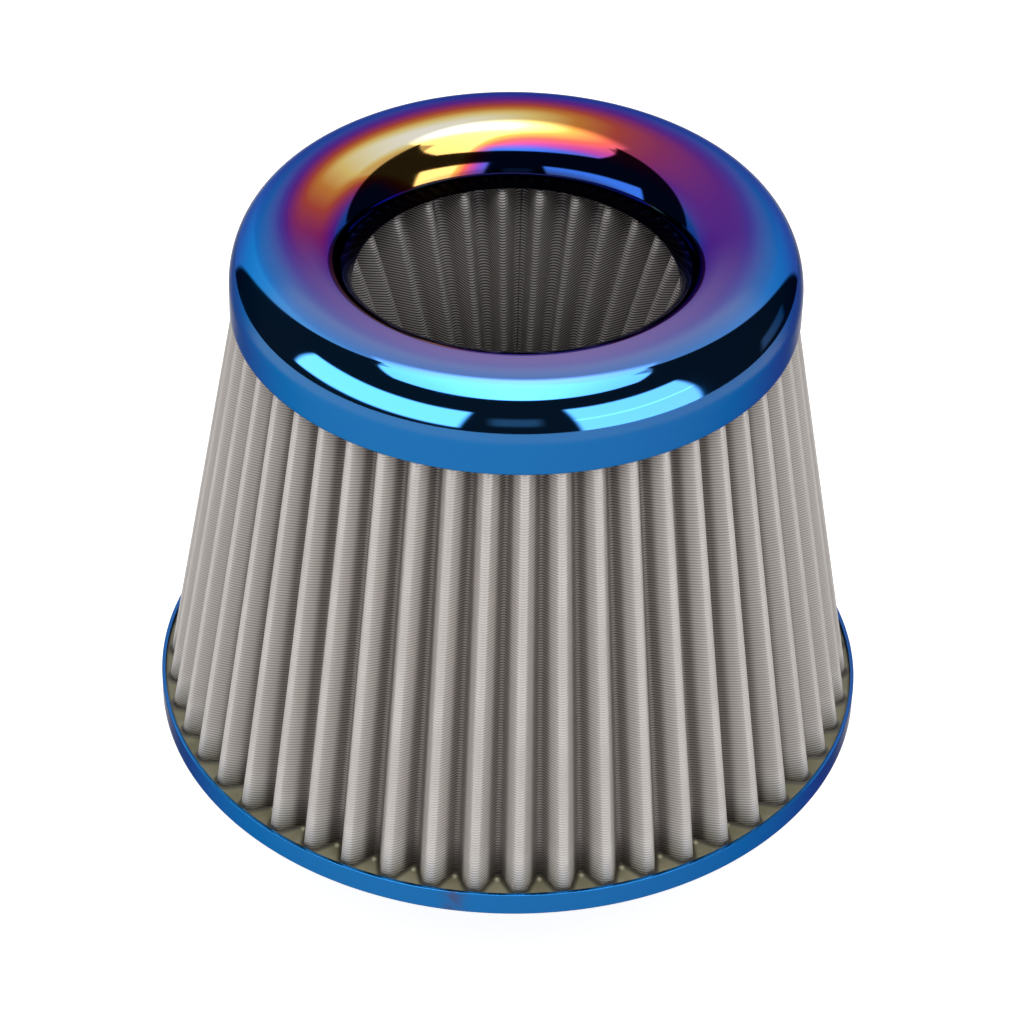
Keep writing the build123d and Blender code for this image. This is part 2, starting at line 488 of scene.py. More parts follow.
@dataclass(frozen=True)
class WireWeave:
    """Woven wire: straight rows at one level each, crossed by finer wires along the folds."""

    cross_height: float = 0.16

    def build(self) -> EffectGroup:
        """Builds the effect.

        Returns:
            A group that puts out the weave's Height and its Gap between rows.
        """
        inputs = {"Level": 0.0, "Along": 0.0, "Row Pitch": 0.6, "Wire Pitch": 0.45, "Gap Power": 2.0}
        group = EffectGroup("Wire weave", inputs, {"Height": "NodeSocketFloat", "Gap": "NodeSocketFloat"})
        row = group.math("DIVIDE", group.entry["Level"], group.entry["Row Pitch"])
        wire = group.math("DIVIDE", group.entry["Along"], group.entry["Wire Pitch"])
        ridge = group.math("ABSOLUTE", group.math("SINE", group.product(row, math.pi)))
        odd_row = group.product(group.math("FLOOR", row), 0.5)
        over = group.math("SINE", group.product(group.math("ADD", wire, odd_row), 2 * math.pi))
        group.put(group.math("ADD", ridge, group.product(over, self.cross_height)), group.exit["Height"])
        gap = group.math("POWER", group.math("SUBTRACT", 1.0, ridge), group.entry["Gap Power"])
        group.put(gap, group.exit["Gap"])
        return group


@dataclass(frozen=True)
class Handling:
    """Faint smears and dust from handling."""

    detail: float = 4.0
    smear_span: Span = (0.52, 0.72)

    def build(self) -> EffectGroup:
        """Builds the effect.

        Returns:
            A group that puts out Smear, from 0 to 1.
        """
        group = EffectGroup("Handling", {"Cells": 45.0}, {"Smear": "NodeSocketFloat"})
        broad = group.node("ShaderNodeTexNoise")
        cells = group.entry["Cells"]
        group.fill(broad.inputs, Vector=group.object_point(), Scale=cells, Detail=self.detail)
        group.put(group.ramp(broad.outputs["Fac"], *self.smear_span), group.exit["Smear"])
        return group


@dataclass(frozen=True)
class Effects:
    """The node groups that the finishes share."""

    heat_tint: EffectGroup
    wire_weave: EffectGroup
    handling: EffectGroup


class MaterialSheet(NodeSheet):
    """The nodes of a material round its Principled shader."""

    def __init__(self, name: str) -> None:
        """Makes the material."""
        self.material = bpy.data.materials.new(name)
        self.material.use_nodes = True
        super().__init__(self.material.node_tree)
        self.shader = self.tree.nodes["Principled BSDF"].inputs

    def dress(self, **values: object) -> None:
        """Sets the shader's inputs to outputs or plain values, named with _ for a space."""
        self.fill(self.shader, **values)

    def bump(self, height: Socket, distance: float, strength: float) -> None:
        """Adds a Bump node before the shader's Normal.

        Args:
            height: The height output.
            distance: What a height of 1 stands for, in metres.
            strength: The strength of the effect, from 0 to 1.
        """
        made = self.node("ShaderNodeBump")
        self.fill(made.inputs, Height=height, Distance=distance, Strength=strength)
        self.dress(Normal=made.outputs["Normal"])


class Finish:
    """A finish that a subclass describes."""

    def material(self, name: str, effects: Effects) -> bpy.types.Material:
        """Builds the material.

        Args:
            name: The material's name.
            effects: The shared node groups.

        Returns:
            The finished material.
        """
        sheet = MaterialSheet(name)
        self.describe(sheet, effects)
        return sheet.material

    def describe(self, sheet: MaterialSheet, effects: Effects) -> None:
        """Dresses the shader of a material."""
        raise NotImplementedError


@dataclass(frozen=True)
class TintedSteel(Finish):
    """Polished steel under a heat tint."""

    roughness: float = 0.045
    smear_roughness: float = 0.05
    smear_cells: float = 38.0
    edge_tint: tuple[float, float, float, float] = (0.26, 0.27, 0.44, 1.0)
    ripple_cells: float = 60.0
    ripple_depth: float = 0.00004

    def describe(self, sheet: MaterialSheet, effects: Effects) -> None:
        """Mirror bright, with faint smears and a slow ripple from the spinning."""
        tint = effects.heat_tint.place(sheet)
        smear = effects.handling.place(sheet, Cells=self.smear_cells)["Smear"]
        sheet.dress(
            Metallic=1.0,
            Specular_Tint=self.edge_tint,
            Base_Color=tint["Color"],
            Coat_Weight=tint["Lacquer"],
            Roughness=sheet.math("ADD", sheet.product(smear, self.smear_roughness), self.roughness),
        )
        sheet.bump(sheet.noise(self.ripple_cells, detail=1.0), self.ripple_depth, strength=1.0)


@dataclass(frozen=True)
class MeshFinish(Finish):
    """Woven steel wire, coloured by its depth in the fold: 0 on the crest and 1 in the valley, with
    painted light and shade on the flanks and painted shade in the valleys.
    """

    row_pitch: float = 0.625
    wire_pitch: float = 0.45
    row_dip: float = 1.7
    colour: Colour = (219, 213, 209)
    gap_colour: Colour = (172, 166, 162)
    flank_shading_colour: Colour = (204, 197, 192)
    flank_shading_gap_colour: Colour = (130, 124, 120)
    valley_shade_colour: Colour = (152, 144, 139)
    valley_shade_gap_colour: Colour = (8, 8, 8)
    foot_highlight_colour: Colour = (250, 245, 238)
    low_shade_colour: Colour = (18, 17, 17)
    flank_shading_span: Span = (0.001, 0.018)
    valley_shade_span: Span = (0.36, 0.7)
    foot_highlight_span: Span = (44.0, 33.0)
    low_shade_span: Span | None = None
    low_shade_share: float = 0.85
    gap_power: float = 1.3
    patch_cells: float = 55.0
    patch_span: Span = (0.3, 0.7)
    patch_shade: int = 12
    metallic: float = 0.2
    roughness: float = 0.45
    wire_depth: float = 0.00008
    wire_strength: float = 0.4

    def describe(self, sheet: MaterialSheet, effects: Effects) -> None:
        """Rows of wire with gaps between them, with painted light towards the foot and painted shade down
        the funnel.
        """
        level, depth = sheet.coordinate("Z"), sheet.attribute("depth")
        weave = effects.wire_weave.place(
            sheet,
            Level=sheet.math("ADD", level, sheet.product(depth, self.row_dip)),
            Along=sheet.attribute("along"),
            Row_Pitch=self.row_pitch,
            Wire_Pitch=self.wire_pitch,
            Gap_Power=self.gap_power,
        )
        # Painted light and shade: the flanks beside the crest get their own tone for how light falls on
        # them.
        side = sheet.ramp(depth, *self.flank_shading_span)
        # Painted shade: the wire darkens down into the valleys, where the folds shade each other.
        valley_shade = sheet.ramp(depth, *self.valley_shade_span)
        patchy = sheet.ramp(sheet.noise(self.patch_cells, detail=3.0), *self.patch_span)
        wire = sheet.mix(patchy, self.colour, darker(self.colour, self.patch_shade))
        wire = sheet.mix(valley_shade, sheet.mix(side, wire, self.flank_shading_colour), self.valley_shade_colour)
        # Painted light: the wire is lightened towards the pan, against the shade of the rim.
        foot = sheet.product(sheet.ramp(level, *self.foot_highlight_span), sheet.math("SUBTRACT", 1.0, valley_shade))
        wire = sheet.mix(foot, wire, self.foot_highlight_colour)
        # The gaps between rows carry painted shade, darker on the flanks and near black in the valleys.
        gap = sheet.mix(side, self.gap_colour, self.flank_shading_gap_colour)
        gap = sheet.mix(valley_shade, gap, self.valley_shade_gap_colour)
        shaded = sheet.mix(weave["Gap"], wire, gap)
        # Painted shade: the mesh darkens from the top of the funnel towards its bottom.
        if self.low_shade_span:
            dark = sheet.ramp(level, *self.low_shade_span, self.low_shade_share, 0.0)
            shaded = sheet.mix(dark, shaded, self.low_shade_colour)
        sheet.dress(Base_Color=shaded, Metallic=self.metallic, Roughness=self.roughness)
        sheet.bump(weave["Height"], self.wire_depth, self.wire_strength)


@dataclass(frozen=True)
class PottingFinish(Finish):
    """Cast polyurethane."""

    colour: Colour = (140, 136, 112)
    dust_colour: Colour = (166, 162, 138)
    wet_edge_and_shadow_colour: Colour = (52, 48, 40)
    pip_highlight_colour: Colour = (196, 190, 160)
    stain_cells: float = 90.0
    stain_span: Span = (0.35, 0.7)
    stain_shade: int = 18
    dust_cells: float = 150.0
    dust_share: float = 0.4
    roughness: float = 0.38
    grain_cells: float = 400.0
    grain_depth: float = 0.0002
    grain_strength: float = 0.35

    def describe(self, sheet: MaterialSheet, effects: Effects) -> None:
        """Stained and dusty, with a dark edge at mesh and rim, partly the resin's wet edge and partly
        painted contact shadow, and a painted highlight on its pips.
        """
        stain = sheet.ramp(sheet.noise(self.stain_cells, detail=4.0), *self.stain_span)
        smear = effects.handling.place(sheet, Cells=self.dust_cells)["Smear"]
        tone = sheet.mix(stain, self.colour, darker(self.colour, self.stain_shade))
        tone = sheet.mix(sheet.product(smear, self.dust_share), tone, self.dust_colour)
        # Dark edge at mesh and rim: partly the resin's wet edge, partly painted contact shadow.
        tone = sheet.mix(sheet.attribute("wet_edge_and_shadow"), tone, self.wet_edge_and_shadow_colour)
        # Painted highlight on the pips.
        tone = sheet.mix(sheet.attribute("pip"), tone, self.pip_highlight_colour)
        sheet.dress(Base_Color=tone, Roughness=self.roughness)
        sheet.bump(sheet.noise(self.grain_cells, detail=3.0), self.grain_depth, self.grain_strength)


@dataclass(frozen=True)
class RubberFinish(Finish):
    """Moulded black rubber."""

    colour: Colour = (34, 34, 36)
    bloom_colour: Colour = (62, 62, 64)
    bloom_cells: float = 60.0
    bloom_share: float = 0.5
    roughness: Span = (0.5, 0.68)
    grain_cells: float = 900.0
    grain_depth: float = 0.00006
    grain_strength: float = 0.5

    def describe(self, sheet: MaterialSheet, effects: Effects) -> None:
        """Matt black with a grey bloom."""
        bloom = effects.handling.place(sheet, Cells=self.bloom_cells)["Smear"]
        sheet.dress(
            Base_Color=sheet.mix(sheet.product(bloom, self.bloom_share), self.colour, self.bloom_colour),
            Roughness=sheet.ramp(bloom, 0.0, 1.0, *self.roughness),
        )
        sheet.bump(sheet.noise(self.grain_cells, detail=2.0), self.grain_depth, self.grain_strength)


@dataclass(frozen=True)
class PlainSteelFinish(Finish):
    """Rolled steel sheet with fine lines from the mill."""

    colour: Colour = (196, 194, 190)
    line_colour: Colour = (150, 148, 146)
    line_cells: float = 120.0
    line_stretch: tuple[float, float, float] = (1.0, 14.0, 14.0)
    line_depth: float = 0.00003
    line_strength: float = 0.4
    smear_cells: float = 60.0
    roughness: Span = (0.3, 0.45)

    def describe(self, sheet: MaterialSheet, effects: Effects) -> None:
        """Grey sheet, duller where it was handled."""
        lines = sheet.noise(self.line_cells, detail=3.0, stretch=self.line_stretch)
        smear = effects.handling.place(sheet, Cells=self.smear_cells)["Smear"]
        sheet.dress(
            Metallic=1.0,
            Base_Color=sheet.mix(lines, self.colour, self.line_colour),
            Roughness=sheet.ramp(smear, 0.0, 1.0, *self.roughness),
        )
        sheet.bump(lines, self.line_depth, self.line_strength)


@dataclass
class MeshPiece:
    """Vertices and faces of a piece that is being built, in millimetres."""

    name: str
    points: list[tuple[float, float, float]] = field(default_factory=list)
    faces: list[tuple[int, ...]] = field(default_factory=list)
    values: dict[str, list[float]] = field(default_factory=dict)

    def build(self, material: bpy.types.Material, slot: Slot, node: str) -> bpy.types.Object:
        """Makes the object, shades it and hangs it on the frame in the place of a node.

        Args:
            material: The piece's material.
            slot: The record's slot; it is not used.
            node: The CAD node that it replaces.

        Returns:
            The new object.
        """
        mesh = bpy.data.meshes.new(self.name)
        mesh.from_pydata([[value * MM for value in point] for point in self.points], [], self.faces)
        for label, numbers in self.values.items():
            layer = mesh.attributes.new(label, "FLOAT", "POINT")
            layer.data.foreach_set("value", np.asarray(numbers, dtype=np.float32))
        mesh.validate()
        mesh.shade_smooth()
        piece = bpy.data.objects.new(self.name, mesh)
        bpy.context.scene.collection.objects.link(piece)
        piece.data.materials.append(material)
        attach(piece, BODY)
        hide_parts(node)
        log.info("%s: %d points, %d faces", self.name, len(self.points), len(self.faces))
        return piece


def lathe(name: str, outline: Outline, turns: int) -> MeshPiece:
    """Turns a closed outline about the axis.

    Args:
        name: The piece's name.
        outline: Points (radius, z) of a closed section that stays off the axis.
        turns: Sections around.

    Returns:
        The ring shaped piece.
    """
    piece = MeshPiece(name)
    count = len(outline)
    for step in range(turns):
        angle = 2 * math.pi * step / turns
        piece.points += [(reach * math.cos(angle), reach * math.sin(angle), z) for reach, z in outline]
    for step in range(turns):
        here, there = step * count, (step + 1) % turns * count
        for index in range(count):
            after = (index + 1) % count
            piece.faces.append((here + index, there + index, there + after, here + after))
    return piece


def arc(centre: Spot, radius: float, start: float, end: float, steps: int) -> Outline:
    """Points on an arc of a section.

    Args:
        centre: Its centre (radius, z).
        radius: The arc's radius.
        start: Angle of its first point, in degrees from outward.
        end: Angle of its last point.
        steps: Straight steps on the arc.

    Returns:
        The points in order.
    """
    turns = [math.radians(start + (end - start) * step / steps) for step in range(steps + 1)]
    return [(centre[0] + radius * math.cos(turn), centre[1] + radius * math.sin(turn)) for turn in turns]


def sheet_outline(line: Outline, sheet: float, edge_steps: int = 6) -> Outline:
    """Closed section of a bent sheet whose first edge is rounded and whose last edge is cut.

    Args:
        line: The middle line of the sheet as (radius, z).
        sheet: The sheet's thickness.
        edge_steps: Straight steps on the rounded edge.

    Returns:
        The closed outline.
    """
    middle = np.array(line)
    along = np.gradient(middle, axis=0)
    along /= np.linalg.norm(along, axis=1)[:, None]
    across = np.stack([along[:, 1], -along[:, 0]], axis=1) * sheet / 2
    start = math.degrees(math.atan2(across[0, 1], across[0, 0]))
    first = arc(line[0], sheet / 2, start - 180, start, edge_steps)
    right = [tuple(point) for point in (middle + across)[1:]]
    left = [tuple(point) for point in (middle - across)[1:]]
    return first + right + left[::-1]


@dataclass
class TopCap:
    """The spun cap: a skirt, a rounded shoulder and a rounded fall into the throat."""

    sheet: float = 0.6
    shoulder_width: float = 10.0
    shoulder_rise: float = 13.2
    throat_radius: float = 34.1
    throat_drop: float = 13.5
    skirt_steps: int = 6
    quarter_steps: int = 26
    turns: int = 384

    def line(self) -> Outline:
        """The middle line of the sheet, from the skirt's edge to the end of the lip."""
        foot, top = node_levels("top_cap")
        half = self.sheet / 2
        outside = node_radius("top_cap") - half
        shoulder_foot = top - self.shoulder_rise
        crown_line = node_radius("top_cap") - self.shoulder_width
        rise, drop = self.shoulder_rise - half, self.throat_drop - half
        fall = crown_line - self.throat_radius - half
        width = outside - crown_line
        skirt, steps = shoulder_foot - foot - half, self.skirt_steps
        points = [(outside, foot + half + skirt * step / steps) for step in range(steps)]
        quarter = [math.pi / 2 * step / self.quarter_steps for step in range(self.quarter_steps + 1)]
        for turn in quarter:
            points.append((crown_line + width * math.cos(turn), shoulder_foot + rise * math.sin(turn)))
        for turn in quarter[1:-1]:
            points.append((crown_line - fall * math.sin(turn), top - half - drop * (1 - math.cos(turn))))
        return points + [(crown_line - fall, top - self.throat_drop + half)]

    def build(self, finish: bpy.types.Material) -> None:
        """Builds the cap."""
        shell = lathe("cap_shell", sheet_outline(self.line(), self.sheet), self.turns)
        shell.build(finish, Slot.TINTED_STEEL, "top_cap")


@dataclass
class BasePan:
    """The pressed pan: a flat floor with a hole for the neck, a tight bend and a low sheared rim."""

    sheet: float = 0.8
    bend: float = 0.5
    outer_edge: float = 0.1
    inner_edge: float = 0.05
    hole_radius: float = 41.5
    floor_steps: int = 8
    wall_shares: tuple[float, ...] = (0.3, 0.6, 0.85)
    turns: int = 384

    def build(self, finish: bpy.types.Material) -> None:
        """Builds the pan."""
        foot, top = node_levels("base_pan")
        outside = node_radius("base_pan")
        inside = outside - self.sheet
        hole, bend = self.hole_radius, self.bend
        outer, inner = self.outer_edge, self.inner_edge
        floor = outside - bend - hole
        outline = [(hole, foot + self.sheet), (hole, foot)]
        outline += [(hole + floor * step / self.floor_steps, foot) for step in range(1, self.floor_steps)]
        outline += arc((outside - bend, foot + bend), bend, -90, 0, steps=8)
        outline += [(outside, foot + (top - foot) * share) for share in self.wall_shares]
        outline += arc((outside - outer, top - outer), outer, 0, 90, steps=6)
        outline += arc((inside + inner, top - inner), inner, 90, 180, steps=3)
        outline += [(inside, foot + (top - foot) * share) for share in reversed(self.wall_shares)]
        outline += [(inside, foot + self.sheet), ((inside + hole) / 2, foot + self.sheet)]
        lathe("pan_shell", outline, self.turns).build(finish, Slot.TINTED_STEEL, "base_pan")


@dataclass
class Neck:
    """The moulded neck: a tube with rounded ends and a flange that lies on the pan."""

    bore_radius: float = 38.0
    wall: float = 3.5
    flange_sheet: float = 2.0
    edge: float = 0.7
    edge_steps: int = 5
    outside_shares: tuple[float, ...] = (0.15, 0.5, 0.9, 1.0)
    bore_shares: tuple[float, ...] = (0.85, 0.5, 0.15)
    turns: int = 192

    def build(self, finish: bpy.types.Material) -> None:
        """Builds the neck."""
        foot, top = node_levels("neck")
        bore, reach, edge, steps = self.bore_radius, node_radius("neck"), self.edge, self.edge_steps
        outside = bore + self.wall
        flange = top - self.flange_sheet
        outline = arc((outside - edge, foot + edge), edge, -90, 0, steps)
        outline += [(outside, foot + (flange - foot) * share) for share in self.outside_shares]
        outline += [(reach - edge, flange)]
        outline += arc((reach - edge, top - edge), edge, 0, 90, steps)
        outline += arc((bore + edge, top - edge), edge, 90, 180, steps)
        outline += [(bore, foot + (top - foot) * share) for share in self.bore_shares]
        outline += arc((bore + edge, foot + edge), edge, 180, 270, steps)
        lathe("neck_tube", outline, self.turns).build(finish, Slot.NECK_RUBBER, "neck")


@dataclass
class FoldedStrip:
    """A mesh strip folded into pleats round the axis, with two flanges at its seam.

    All sizes are those of the middle of the mesh at the widest level. The section shrinks
    towards the axis in proportion, down to narrow_scale at the other level.
    """

    name: str
    node: str
    folds: int
    first_angle: float
    tip: float
    depth: float
    tip_bend: float
    root_bend: float
    seam: Seam
    narrow_scale: float
    wide_at_top: bool
    crowd_angle: float = 0.0
    crowd_line_angle: float = 0.0
    wall: float = 0.6
    seam_slit: float = 0.1
    seam_depth: float = 3.5
    tip_steps: int = 8
    root_steps: int = 6
    flank_steps: int = 3
    levels: int = 12

    def lines(self) -> list[float]:
        """Angles of the fold lines of the open strip, which starts at the back.

        Returns:
            The angles in radians, tips and roots in turn.
        """
        turned = []
        for half_step in range(2 * self.folds):
            turn = self.first_angle + 180 / self.folds * half_step
            turn += self.crowd_angle * math.sin(math.radians(turn - self.crowd_line_angle))
            turned.append(math.radians(turn - 90))
        seam = max(range(self.seam.value, len(turned), 2), key=lambda index: math.sin(turned[index]))
        return turned[seam:] + [line + 2 * math.pi for line in turned[: seam + 1]]

    def flank(self, gap: float, scale: float) -> float:
        """Direction of a flank's outward side from its tip line.

        Args:
            gap: Angle between the tip line and the root line.
            scale: The section's scale.

        Returns:
            The angle in radians at which the tip's bend meets the flank.
        """
        tip_centre = (self.tip - self.tip_bend) * scale
        root_centre = (self.tip - self.depth + self.root_bend) * scale
        along = root_centre * math.cos(gap) - tip_centre
        across = root_centre * math.sin(gap)
        bends = (self.tip_bend + self.root_bend) * scale
        return math.atan2(across, along) - math.acos(bends / math.hypot(along, across))

    def face_line(self, scale: float, side: int) -> np.ndarray:
        """One face of the strip at one level.

        Args:
            scale: The section's scale.
            side: 1 for the face away from the axis and -1 for the face towards it.

        Returns:
            Points (x, y) in millimetres from one flange to the other.
        """
        lines = self.lines()
        is_tip_seam = self.seam is Seam.TIP
        offset = side * self.wall / 2
        tip, depth = self.tip * scale, self.depth * scale
        tip_bend, root_bend = self.tip_bend * scale, self.root_bend * scale
        seam_side = self.seam_slit / 2 + (self.wall if (side == 1) == is_tip_seam else 0)
        seam_end = tip + self.seam_depth if is_tip_seam else tip - depth - self.seam_depth
        points = [self.spot(lines[0], seam_end, seam_side)]
        last = len(lines) - 1
        for index, line in enumerate(lines):
            before = line - lines[index - 1] if index else lines[1] - lines[0]
            after = lines[index + 1] - line if index < last else before
            if (index + self.seam.value) % 2:
                centre, radius = tip - depth + root_bend, root_bend - offset
                steps, middle = self.root_steps, math.pi
                start = math.pi + self.flank(before, scale) - before
                end = math.pi - self.flank(after, scale) + after
                clear = -math.asin(min(seam_side / radius, 1))
            else:
                centre, radius = tip - tip_bend, tip_bend + offset
                steps, middle = self.tip_steps, 0.0
                start, end = -self.flank(before, scale), self.flank(after, scale)
                clear = math.asin(min(seam_side / radius, 1))
            start = middle + clear if index == 0 else start
            end = middle - clear if index == last else end
            for step in range(steps + 1):
                turn = start + (end - start) * step / steps
                goal = self.spot(line, centre + radius * math.cos(turn), radius * math.sin(turn))
                if step == 0 and index:
                    self.bridge(points, goal)
                points.append(goal)
        points.append(self.spot(lines[-1], seam_end, -seam_side))
        return np.array(points)

    def spot(self, line: float, out: float, across: float) -> Spot:
        """The point (x, y) that lies so far out along a fold line and so far across it."""
        ahead, aside = math.cos(line), math.sin(line)
        return (out * ahead - across * aside, out * aside + across * ahead)

    def bridge(self, points: Outline, goal: Spot) -> None:
        """Adds even points on a flank, from the last point to the start of the next bend.

        Args:
            points: The points so far.
            goal: The first point of the next bend.
        """
        from_x, from_y = points[-1]
        for step in range(1, self.flank_steps):
            share = step / self.flank_steps
            points.append((from_x + (goal[0] - from_x) * share, from_y + (goal[1] - from_y) * share))

    def build(self, finish: bpy.types.Material) -> None:
        """Builds the strip with its weave coordinates."""
        foot, head = node_levels(self.node)
        piece = MeshPiece(self.name)
        rings = []
        for step in range(self.levels + 1):
            share = step / self.levels
            narrow = 1 - share if self.wide_at_top else share
            scale = 1 + (self.narrow_scale - 1) * narrow
            outside, inside = (self.face_line(scale, side) for side in (1, -1))
            ring = np.vstack([outside, inside[::-1]])
            rings.append((ring, scale, foot + (head - foot) * share))
        count = len(rings[0][0])
        widest = max(rings, key=lambda entry: entry[1])[0]
        travel = np.concatenate([[0.0], np.cumsum(np.linalg.norm(np.diff(widest, axis=0), axis=1))])
        half = count // 2
        travel[half:] = travel[half] - travel[half:] + travel[half]
        along: list[float] = []
        depths: list[float] = []
        for ring, scale, level in rings:
            piece.points += [(float(x), float(y), level) for x, y in ring]
            along += [float(value) for value in travel]
            reach = np.linalg.norm(ring, axis=1) / scale
            below = np.clip((self.tip - reach) / self.depth, 0, 1)
            depths += [float(value) for value in (1 - below if self.seam is Seam.TIP else below)]
        for step in range(self.levels):
            for index in range(count):
                after = (index + 1) % count
                low, high = step * count, (step + 1) * count
                piece.faces.append((low + index, low + after, high + after, high + index))
        top = self.levels * count
        for index in range(half - 1):
            mirror = count - 1 - index
            piece.faces.append((index + 1, index, mirror, mirror - 1))
            piece.faces.append((top + index, top + index + 1, top + mirror - 1, top + mirror))
        piece.values = {"along": along, "depth": depths}
        piece.build(finish, Slot.STEEL_MESH, self.node)


@dataclass
class BasePotting:
    """The cast ring in the pan, which climbs a little up the mesh and into the valleys."""

    pleats: FoldedStrip
    inner_radius: float = 61.6
    outer_radius: float = 76.7
    climb: float = 0.4
    climb_reach: float = 0.4
    wet_edge_and_shadow_reach: float = 0.75
    wet_edge_and_shadow_from: float = 1.5
    wet_edge_and_shadow_most: float = 0.9
    rim_climb: float = 0.3
    rim_climb_reach: float = 0.4
    rim_wet_edge_and_shadow: float = 0.8
    rim_wet_edge_and_shadow_reach: float = 0.5
    pip_height: float = 0.45
    pip_radius: float = 0.6
    pip_from_root: float = 1.25
    pip_from: float = 1.2
    pip_highlight_share: float = 0.85
    flat_margin: float = 1.0
    strip_step: float = 0.12
    around: int = 1600
    rings: int = 30

    def build(self, finish: bpy.types.Material) -> None:
        """Builds the ring."""
        foot, top = node_levels("base_potting")
        inner = self.pleats.tip - self.pleats.depth - self.flat_margin
        reaches = [self.inner_radius, (self.inner_radius + inner) / 2]
        width = self.outer_radius - inner
        reaches += [inner + width * step / self.rings for step in range(self.rings + 1)]
        angles = np.linspace(0, 2 * math.pi, self.around, endpoint=False)
        directions = np.stack([np.cos(angles), np.sin(angles)], axis=1)
        grid = directions[:, None, :] * np.array(reaches)[None, :, None]
        height, wet_edge_and_shadow, pip = (
            values.reshape(self.around, len(reaches)) for values in self.surface(grid.reshape(-1, 2))
        )
        height[:, 0] = 0
        count = len(reaches) + 2
        piece = MeshPiece("potting_ring")
        for row in range(self.around):
            for (x, y), rise in zip(grid[row], height[row]):
                piece.points.append((float(x), float(y), top + float(rise)))
            for x, y in (grid[row][-1], grid[row][0]):
                piece.points.append((float(x), float(y), foot))
        for row in range(self.around):
            here, there = row * count, (row + 1) % self.around * count
            for index in range(count):
                after = (index + 1) % count
                piece.faces.append((here + index, here + after, there + after, there + index))
        for label, values in (("wet_edge_and_shadow", wet_edge_and_shadow), ("pip", pip)):
            hidden = np.zeros((self.around, 2))
            piece.values[label] = [float(value) for value in np.hstack([values, hidden]).ravel()]
        piece.build(finish, Slot.POTTING, "base_potting")

    def surface(self, points: np.ndarray) -> tuple[np.ndarray, np.ndarray, np.ndarray]:
        """The cast surface: it climbs a little at mesh and rim, and has a pip in each valley.

        Args:
            points: Points (x, y) on the ring.

        Returns:
            At each point its rise in millimetres, and from 0 to 1 how far the dark edge at mesh and
            rim reaches, partly the resin's wet edge and partly painted contact shadow, and how far the
            painted highlight on the pip reaches.
        """
        strip = self.pleats.face_line(1.0, 1)[1:-1]
        travel = np.concatenate([[0.0], np.cumsum(np.linalg.norm(np.diff(strip, axis=0), axis=1))])
        spots = np.arange(0.0, travel[-1], self.strip_step)
        tree = KDTree(len(spots))
        for index, spot in enumerate(spots):
            x, y = (np.interp(spot, travel, strip[:, axis]) for axis in (0, 1))
            tree.insert((x, y, 0.0), index)
        tree.balance()
        near = np.array([tree.find((x, y, 0.0))[2] for x, y in points])
        rise = self.climb * np.exp(-near / self.climb_reach)
        # Dark edge beside the mesh and then the rim: partly painted contact shadow, partly the resin's
        # wet edge.
        wet_edge_and_shadow = np.clip(self.wet_edge_and_shadow_from - near / self.wet_edge_and_shadow_reach, 0, self.wet_edge_and_shadow_most)
        wall = self.outer_radius - np.linalg.norm(points, axis=1)
        rise += self.rim_climb * np.exp(-wall / self.rim_climb_reach)
        at_rim = np.clip(self.rim_wet_edge_and_shadow - wall / self.rim_wet_edge_and_shadow_reach, 0, self.rim_wet_edge_and_shadow)
        wet_edge_and_shadow = np.maximum(wet_edge_and_shadow, at_rim)
        root = self.pleats.tip - self.pleats.depth + self.pleats.wall / 2 + self.pip_from_root
        pip = np.zeros(len(points))
        for line in self.pleats.lines()[::2]:
            gap = np.hypot(points[:, 0] - root * math.cos(line), points[:, 1] - root * math.sin(line))
            pip = np.maximum(pip, np.clip(self.pip_from - gap / self.pip_radius, 0, 1))
        # The pip's colour share is a painted highlight on its rise.
        return np.maximum(rise, self.pip_height * pip), wet_edge_and_shadow, pip * self.pip_highlight_share


@dataclass
class Inside:
    """The pieces that the CAD model gives as they are: cup, clips and the hidden pottings."""

    steel_nodes: tuple[str, ...] = ("funnel_cup", "outer_seam_clip", "inner_seam_clip")
    potting_nodes: tuple[str, ...] = ("cap_potting", "funnel_potting")

    def dress(self, steel: bpy.types.Material, potting: bpy.types.Material) -> None:
        """Gives the CAD nodes their finishes."""
        for names, material in ((self.steel_nodes, steel), (self.potting_nodes, potting)):
            for name in names:
                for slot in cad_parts[name].material_slots:
                    slot.material = material
                log.info("%s dressed", name)


@dataclass(frozen=True)
class Softbox:
    """A bright panel of the studio, as the polished steel mirrors it. Angles are in degrees."""

    left: float
    right: float
    low: float
    high: float
    level: float
    soft: float = 1.5
    slant: float = 0.0


class WorldSheet(NodeSheet):
    """The world's nodes, with the direction that is looked in. Angles are in degrees."""

    def __init__(self, name: str) -> None:
        """Makes the world and takes its direction apart."""
        world = bpy.data.worlds.new(name)
        bpy.context.scene.world = world
        world.use_nodes = True
        world.node_tree.nodes.clear()
        super().__init__(world.node_tree)
        direction = self.node("ShaderNodeSeparateXYZ")
        self.put(self.node("ShaderNodeTexCoord").outputs["Generated"], direction.inputs[0])
        self.side, self.back, self.up = (direction.outputs[axis] for axis in "XYZ")
        front = self.product(self.back, -1.0)
        self.azimuth = self.math("DEGREES", self.math("ARCTAN2", self.side, front))
        self.elevation = self.math("DEGREES", self.math("ARCSINE", self.up))

    def light(self, strength: object) -> Socket:
        """A white background shader of a given strength."""
        made = self.node("ShaderNodeBackground")
        self.fill(made.inputs, Color=(1, 1, 1, 1), Strength=strength)
        return made.outputs[0]

    def choose(self, share: Socket, first: Socket, second: Socket) -> Socket:
        """Mixes two shaders.

        Args:
            share: The second shader's share, from 0 to 1.
            first: A shader output.
            second: A shader output.

        Returns:
            The mixed shader.
        """
        made = self.node("ShaderNodeMixShader")
        for index, value in enumerate((share, first, second)):
            self.put(value, made.inputs[index])
        return made.outputs[0]


